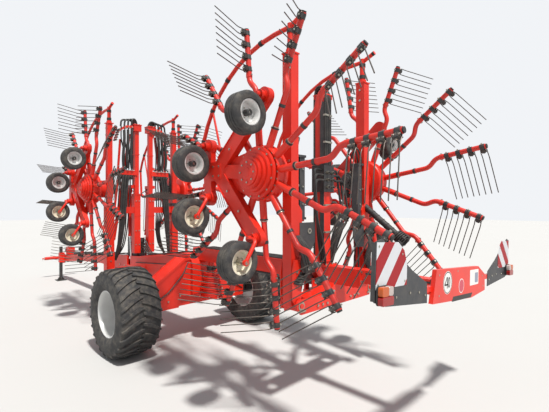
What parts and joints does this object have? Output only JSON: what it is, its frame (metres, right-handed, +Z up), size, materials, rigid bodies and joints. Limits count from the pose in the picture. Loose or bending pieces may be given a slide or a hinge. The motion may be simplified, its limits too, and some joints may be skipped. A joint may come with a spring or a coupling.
{
  "type": "rotary rake",
  "caption": "Trailed four-rotor rotary hay rake folded upright for transport, on a two-wheel chassis with a parking stand.",
  "frame": {"origin": "middle of the bounding box, on the ground", "axes": "+X forward towards the hitch, +Y to the machine's left, +Z up"},
  "size_m": [11.44, 3, 4.0129],
  "materials": {
    "red_paint": "gloss",
    "black_paint": "satin",
    "tyre": "matte",
    "chrome_rod": "polished",
    "board_sheet": "satin",
    "lamp_lens": "gloss"
  },
  "bodies": {
    "chassis": {"main_frame": "red_paint", "rear_panel": "red_paint", "sign_boards": "board_sheet", "tail_lamps": "lamp_lens"},
    "headstock": {"headstock": "red_paint"},
    "parking_stand": {"parking_stand": "black_paint"},
    "main_wheel_left": {"main_wheel_left": "tyre"},
    "boom_rear_left": {"boom_rear_left": "red_paint", "undercarriage_rear_left": "red_paint"},
    "rotor_rear_left": {"rotor_rear_left": "red_paint"},
    "caster_fork_rear_top_left": {"caster_fork_rear_top_left": "red_paint"},
    "caster_wheel_rear_top_left": {"caster_wheel_rear_top_left": "tyre"},
    "caster_fork_rear_low_left": {"caster_fork_rear_low_left": "red_paint"},
    "caster_wheel_rear_low_left": {"caster_wheel_rear_low_left": "tyre"},
    "caster_fork_rear_fore_upper_left": {"caster_fork_rear_fore_upper_left": "red_paint"},
    "caster_wheel_rear_fore_upper_left": {"caster_wheel_rear_fore_upper_left": "tyre"},
    "caster_fork_rear_fore_lower_left": {"caster_fork_rear_fore_lower_left": "red_paint"},
    "caster_wheel_rear_fore_lower_left": {"caster_wheel_rear_fore_lower_left": "tyre"},
    "fold_barrel_rear_left": {"fold_barrel_rear_left": "black_paint"},
    "fold_rod_rear_left": {"fold_rod_rear_left": "chrome_rod"},
    "boom_front_left": {"boom_front_left": "red_paint"},
    "undercarriage_front_left": {"undercarriage_front_left": "red_paint"},
    "rotor_front_left": {"rotor_front_left": "red_paint"},
    "caster_fork_front_top_left": {"caster_fork_front_top_left": "red_paint"},
    "caster_wheel_front_top_left": {"caster_wheel_front_top_left": "tyre"},
    "caster_fork_front_low_left": {"caster_fork_front_low_left": "red_paint"},
    "caster_wheel_front_low_left": {"caster_wheel_front_low_left": "tyre"},
    "caster_fork_front_fore_upper_left": {"caster_fork_front_fore_upper_left": "red_paint"},
    "caster_wheel_front_fore_upper_left": {"caster_wheel_front_fore_upper_left": "tyre"},
    "caster_fork_front_fore_lower_left": {"caster_fork_front_fore_lower_left": "red_paint"},
    "caster_wheel_front_fore_lower_left": {"caster_wheel_front_fore_lower_left": "tyre"},
    "fold_barrel_front_left": {"fold_barrel_front_left": "black_paint"},
    "fold_rod_front_left": {"fold_rod_front_left": "chrome_rod"},
    "main_wheel_right": {"main_wheel_right": "tyre"},
    "boom_rear_right": {"boom_rear_right": "red_paint", "undercarriage_rear_right": "red_paint"},
    "rotor_rear_right": {"rotor_rear_right": "red_paint"},
    "caster_fork_rear_top_right": {"caster_fork_rear_top_right": "red_paint"},
    "caster_wheel_rear_top_right": {"caster_wheel_rear_top_right": "tyre"},
    "caster_fork_rear_low_right": {"caster_fork_rear_low_right": "red_paint"},
    "caster_wheel_rear_low_right": {"caster_wheel_rear_low_right": "tyre"},
    "caster_fork_rear_fore_upper_right": {"caster_fork_rear_fore_upper_right": "red_paint"},
    "caster_wheel_rear_fore_upper_right": {"caster_wheel_rear_fore_upper_right": "tyre"},
    "caster_fork_rear_fore_lower_right": {"caster_fork_rear_fore_lower_right": "red_paint"},
    "caster_wheel_rear_fore_lower_right": {"caster_wheel_rear_fore_lower_right": "tyre"},
    "fold_barrel_rear_right": {"fold_barrel_rear_right": "black_paint"},
    "fold_rod_rear_right": {"fold_rod_rear_right": "chrome_rod"},
    "boom_front_right": {"boom_front_right": "red_paint"},
    "undercarriage_front_right": {"undercarriage_front_right": "red_paint"},
    "rotor_front_right": {"rotor_front_right": "red_paint"},
    "caster_fork_front_top_right": {"caster_fork_front_top_right": "red_paint"},
    "caster_wheel_front_top_right": {"caster_wheel_front_top_right": "tyre"},
    "caster_fork_front_low_right": {"caster_fork_front_low_right": "red_paint"},
    "caster_wheel_front_low_right": {"caster_wheel_front_low_right": "tyre"},
    "caster_fork_front_fore_upper_right": {"caster_fork_front_fore_upper_right": "red_paint"},
    "caster_wheel_front_fore_upper_right": {"caster_wheel_front_fore_upper_right": "tyre"},
    "caster_fork_front_fore_lower_right": {"caster_fork_front_fore_lower_right": "red_paint"},
    "caster_wheel_front_fore_lower_right": {"caster_wheel_front_fore_lower_right": "tyre"},
    "fold_barrel_front_right": {"fold_barrel_front_right": "black_paint"},
    "fold_rod_front_right": {"fold_rod_front_right": "chrome_rod"}
  },
  "joints": [
    {"name": "headstock_yaw", "type": "hinge", "parent": "chassis", "child": "headstock", "pos_m": [5.415, 0, 0.57], "axis": [0, 0, 1], "range_deg": [-60, 60]},
    {"name": "stand_slide", "type": "slide", "parent": "chassis", "child": "parking_stand", "axis": [0, 0, 1], "range_m": [0, 0.35]},
    {"name": "main_wheel_left_axle", "type": "hinge", "parent": "chassis", "child": "main_wheel_left", "pos_m": [-1.545, 1.2, 0.615], "axis": [0, 1, 0], "continuous": true},
    {"name": "fold_rear_left", "type": "hinge", "parent": "chassis", "child": "boom_rear_left", "pos_m": [-4.245, 0.64, 1.1], "axis": [-1, 0, 0], "range_deg": [0, 90]},
    {"name": "rotor_rear_left_spin", "type": "hinge", "parent": "boom_rear_left", "child": "rotor_rear_left", "pos_m": [-4.125, 0.925, 2.42], "axis": [0, 1, 0], "continuous": true},
    {"name": "swivel_rear_left_top", "type": "hinge", "parent": "boom_rear_left", "child": "caster_fork_rear_top_left", "pos_m": [-4.275, 1.14, 3.13], "axis": [0, 1, 0], "range_deg": [0, 100]},
    {"name": "caster_axle_rear_left_top", "type": "hinge", "parent": "caster_fork_rear_top_left", "child": "caster_wheel_rear_top_left", "pos_m": [-4.275, 1.295, 2.93], "axis": [1, 0, 0], "continuous": true},
    {"name": "swivel_rear_left_low", "type": "hinge", "parent": "boom_rear_left", "child": "caster_fork_rear_low_left", "pos_m": [-4.16, 1.14, 1.79], "axis": [0, 1, 0], "range_deg": [0, 100]},
    {"name": "caster_axle_rear_left_low", "type": "hinge", "parent": "caster_fork_rear_low_left", "child": "caster_wheel_rear_low_left", "pos_m": [-4.16, 1.295, 1.59], "axis": [1, 0, 0], "continuous": true},
    {"name": "swivel_rear_left_fore_upper", "type": "hinge", "parent": "boom_rear_left", "child": "caster_fork_rear_fore_upper_left", "pos_m": [-3.39, 1.14, 2.745], "axis": [0, 1, 0], "range_deg": [0, 100]},
    {"name": "caster_axle_rear_left_fore_upper", "type": "hinge", "parent": "caster_fork_rear_fore_upper_left", "child": "caster_wheel_rear_fore_upper_left", "pos_m": [-3.39, 1.295, 2.545], "axis": [1, 0, 0], "continuous": true},
    {"name": "swivel_rear_left_fore_lower", "type": "hinge", "parent": "boom_rear_left", "child": "caster_fork_rear_fore_lower_left", "pos_m": [-3.39, 1.14, 2.19], "axis": [0, 1, 0], "range_deg": [0, 100]},
    {"name": "caster_axle_rear_left_fore_lower", "type": "hinge", "parent": "caster_fork_rear_fore_lower_left", "child": "caster_wheel_rear_fore_lower_left", "pos_m": [-3.39, 1.295, 1.99], "axis": [1, 0, 0], "continuous": true},
    {"name": "barrel_pin_rear_left", "type": "hinge", "parent": "chassis", "child": "fold_barrel_rear_left", "pos_m": [-4.055, 0.125, 1.24], "axis": [-1, 0, 0], "range_deg": [0, 63]},
    {"name": "rod_stroke_rear_left", "type": "slide", "parent": "fold_barrel_rear_left", "child": "fold_rod_rear_left", "axis": [0, 0.493, 0.87], "range_m": [0, 0.55]},
    {"name": "fold_front_left", "type": "hinge", "parent": "chassis", "child": "boom_front_left", "pos_m": [0.355, 0.64, 0.86], "axis": [-1, 0, 0], "range_deg": [0, 90]},
    {"name": "telescope_left", "type": "slide", "parent": "boom_front_left", "child": "undercarriage_front_left", "axis": [0, 0, 1], "range_m": [0, 0.85]},
    {"name": "rotor_front_left_spin", "type": "hinge", "parent": "undercarriage_front_left", "child": "rotor_front_left", "pos_m": [0.475, 0.925, 2.42], "axis": [0, 1, 0], "continuous": true},
    {"name": "swivel_front_left_top", "type": "hinge", "parent": "undercarriage_front_left", "child": "caster_fork_front_top_left", "pos_m": [0.325, 1.14, 3.13], "axis": [0, 1, 0], "range_deg": [0, 100]},
    {"name": "caster_axle_front_left_top", "type": "hinge", "parent": "caster_fork_front_top_left", "child": "caster_wheel_front_top_left", "pos_m": [0.325, 1.295, 2.93], "axis": [1, 0, 0], "continuous": true},
    {"name": "swivel_front_left_low", "type": "hinge", "parent": "undercarriage_front_left", "child": "caster_fork_front_low_left", "pos_m": [0.44, 1.14, 1.79], "axis": [0, 1, 0], "range_deg": [0, 100]},
    {"name": "caster_axle_front_left_low", "type": "hinge", "parent": "caster_fork_front_low_left", "child": "caster_wheel_front_low_left", "pos_m": [0.44, 1.295, 1.59], "axis": [1, 0, 0], "continuous": true},
    {"name": "swivel_front_left_fore_upper", "type": "hinge", "parent": "undercarriage_front_left", "child": "caster_fork_front_fore_upper_left", "pos_m": [1.21, 1.14, 2.745], "axis": [0, 1, 0], "range_deg": [0, 100]},
    {"name": "caster_axle_front_left_fore_upper", "type": "hinge", "parent": "caster_fork_front_fore_upper_left", "child": "caster_wheel_front_fore_upper_left", "pos_m": [1.21, 1.295, 2.545], "axis": [1, 0, 0], "continuous": true},
    {"name": "swivel_front_left_fore_lower", "type": "hinge", "parent": "undercarriage_front_left", "child": "caster_fork_front_fore_lower_left", "pos_m": [1.21, 1.14, 2.19], "axis": [0, 1, 0], "range_deg": [0, 100]},
    {"name": "caster_axle_front_left_fore_lower", "type": "hinge", "parent": "caster_fork_front_fore_lower_left", "child": "caster_wheel_front_fore_lower_left", "pos_m": [1.21, 1.295, 1.99], "axis": [1, 0, 0], "continuous": true},
    {"name": "barrel_pin_front_left", "type": "hinge", "parent": "boom_front_left", "child": "fold_barrel_front_left", "pos_m": [0.545, 0.205, 2.4], "axis": [1, 0, 0], "range_deg": [0, 9]},
    {"name": "rod_stroke_front_left", "type": "slide", "parent": "fold_barrel_front_left", "child": "fold_rod_front_left", "axis": [0, -0.041, -0.9992], "range_m": [0, 0.71]},
    {"name": "main_wheel_right_axle", "type": "hinge", "parent": "chassis", "child": "main_wheel_right", "pos_m": [-1.545, -1.2, 0.615], "axis": [0, 1, 0], "continuous": true},
    {"name": "fold_rear_right", "type": "hinge", "parent": "chassis", "child": "boom_rear_right", "pos_m": [-4.245, -0.64, 1.1], "axis": [1, 0, 0], "range_deg": [0, 90]},
    {"name": "rotor_rear_right_spin", "type": "hinge", "parent": "boom_rear_right", "child": "rotor_rear_right", "pos_m": [-4.125, -0.925, 2.42], "axis": [0, 1, 0], "continuous": true},
    {"name": "swivel_rear_right_top", "type": "hinge", "parent": "boom_rear_right", "child": "caster_fork_rear_top_right", "pos_m": [-4.275, -1.14, 3.13], "axis": [0, 1, 0], "range_deg": [0, 100]},
    {"name": "caster_axle_rear_right_top", "type": "hinge", "parent": "caster_fork_rear_top_right", "child": "caster_wheel_rear_top_right", "pos_m": [-4.275, -1.295, 2.93], "axis": [1, 0, 0], "continuous": true},
    {"name": "swivel_rear_right_low", "type": "hinge", "parent": "boom_rear_right", "child": "caster_fork_rear_low_right", "pos_m": [-4.16, -1.14, 1.79], "axis": [0, 1, 0], "range_deg": [0, 100]},
    {"name": "caster_axle_rear_right_low", "type": "hinge", "parent": "caster_fork_rear_low_right", "child": "caster_wheel_rear_low_right", "pos_m": [-4.16, -1.295, 1.59], "axis": [1, 0, 0], "continuous": true},
    {"name": "swivel_rear_right_fore_upper", "type": "hinge", "parent": "boom_rear_right", "child": "caster_fork_rear_fore_upper_right", "pos_m": [-3.39, -1.14, 2.745], "axis": [0, 1, 0], "range_deg": [0, 100]},
    {"name": "caster_axle_rear_right_fore_upper", "type": "hinge", "parent": "caster_fork_rear_fore_upper_right", "child": "caster_wheel_rear_fore_upper_right", "pos_m": [-3.39, -1.295, 2.545], "axis": [1, 0, 0], "continuous": true},
    {"name": "swivel_rear_right_fore_lower", "type": "hinge", "parent": "boom_rear_right", "child": "caster_fork_rear_fore_lower_right", "pos_m": [-3.39, -1.14, 2.19], "axis": [0, 1, 0], "range_deg": [0, 100]},
    {"name": "caster_axle_rear_right_fore_lower", "type": "hinge", "parent": "caster_fork_rear_fore_lower_right", "child": "caster_wheel_rear_fore_lower_right", "pos_m": [-3.39, -1.295, 1.99], "axis": [1, 0, 0], "continuous": true},
    {"name": "barrel_pin_rear_right", "type": "hinge", "parent": "chassis", "child": "fold_barrel_rear_right", "pos_m": [-4.055, -0.125, 1.24], "axis": [1, 0, 0], "range_deg": [0, 63]},
    {"name": "rod_stroke_rear_right", "type": "slide", "parent": "fold_barrel_rear_right", "child": "fold_rod_rear_right", "axis": [0, -0.493, 0.87], "range_m": [0, 0.55]},
    {"name": "fold_front_right", "type": "hinge", "parent": "chassis", "child": "boom_front_right", "pos_m": [0.355, -0.64, 0.86], "axis": [1, 0, 0], "range_deg": [0, 90]},
    {"name": "telescope_right", "type": "slide", "parent": "boom_front_right", "child": "undercarriage_front_right", "axis": [0, 0, 1], "range_m": [0, 0.85]},
    {"name": "rotor_front_right_spin", "type": "hinge", "parent": "undercarriage_front_right", "child": "rotor_front_right", "pos_m": [0.475, -0.925, 2.42], "axis": [0, 1, 0], "continuous": true},
    {"name": "swivel_front_right_top", "type": "hinge", "parent": "undercarriage_front_right", "child": "caster_fork_front_top_right", "pos_m": [0.325, -1.14, 3.13], "axis": [0, 1, 0], "range_deg": [0, 100]},
    {"name": "caster_axle_front_right_top", "type": "hinge", "parent": "caster_fork_front_top_right", "child": "caster_wheel_front_top_right", "pos_m": [0.325, -1.295, 2.93], "axis": [1, 0, 0], "continuous": true},
    {"name": "swivel_front_right_low", "type": "hinge", "parent": "undercarriage_front_right", "child": "caster_fork_front_low_right", "pos_m": [0.44, -1.14, 1.79], "axis": [0, 1, 0], "range_deg": [0, 100]},
    {"name": "caster_axle_front_right_low", "type": "hinge", "parent": "caster_fork_front_low_right", "child": "caster_wheel_front_low_right", "pos_m": [0.44, -1.295, 1.59], "axis": [1, 0, 0], "continuous": true},
    {"name": "swivel_front_right_fore_upper", "type": "hinge", "parent": "undercarriage_front_right", "child": "caster_fork_front_fore_upper_right", "pos_m": [1.21, -1.14, 2.745], "axis": [0, 1, 0], "range_deg": [0, 100]},
    {"name": "caster_axle_front_right_fore_upper", "type": "hinge", "parent": "caster_fork_front_fore_upper_right", "child": "caster_wheel_front_fore_upper_right", "pos_m": [1.21, -1.295, 2.545], "axis": [1, 0, 0], "continuous": true},
    {"name": "swivel_front_right_fore_lower", "type": "hinge", "parent": "undercarriage_front_right", "child": "caster_fork_front_fore_lower_right", "pos_m": [1.21, -1.14, 2.19], "axis": [0, 1, 0], "range_deg": [0, 100]},
    {"name": "caster_axle_front_right_fore_lower", "type": "hinge", "parent": "caster_fork_front_fore_lower_right", "child": "caster_wheel_front_fore_lower_right", "pos_m": [1.21, -1.295, 1.99], "axis": [1, 0, 0], "continuous": true},
    {"name": "barrel_pin_front_right", "type": "hinge", "parent": "boom_front_right", "child": "fold_barrel_front_right", "pos_m": [0.545, -0.205, 2.4], "axis": [-1, 0, 0], "range_deg": [0, 9]},
    {"name": "rod_stroke_front_right", "type": "slide", "parent": "fold_barrel_front_right", "child": "fold_rod_front_right", "axis": [0, 0.041, -0.9992], "range_m": [0, 0.71]}
  ],
  "couplings": [
    {"joint": "barrel_pin_rear_left", "follows": "fold_rear_left", "ratio": 0.694},
    {"joint": "rod_stroke_rear_left", "follows": "fold_rear_left", "m_per_rad": 0.3463},
    {"joint": "barrel_pin_front_left", "follows": "fold_front_left", "ratio": 0.0995},
    {"joint": "rod_stroke_front_left", "follows": "fold_front_left", "m_per_rad": 0.447},
    {"joint": "barrel_pin_rear_right", "follows": "fold_rear_right", "ratio": 0.694},
    {"joint": "rod_stroke_rear_right", "follows": "fold_rear_right", "m_per_rad": 0.3463},
    {"joint": "barrel_pin_front_right", "follows": "fold_front_right", "ratio": 0.0995},
    {"joint": "rod_stroke_front_right", "follows": "fold_front_right", "m_per_rad": 0.447}
  ]
}
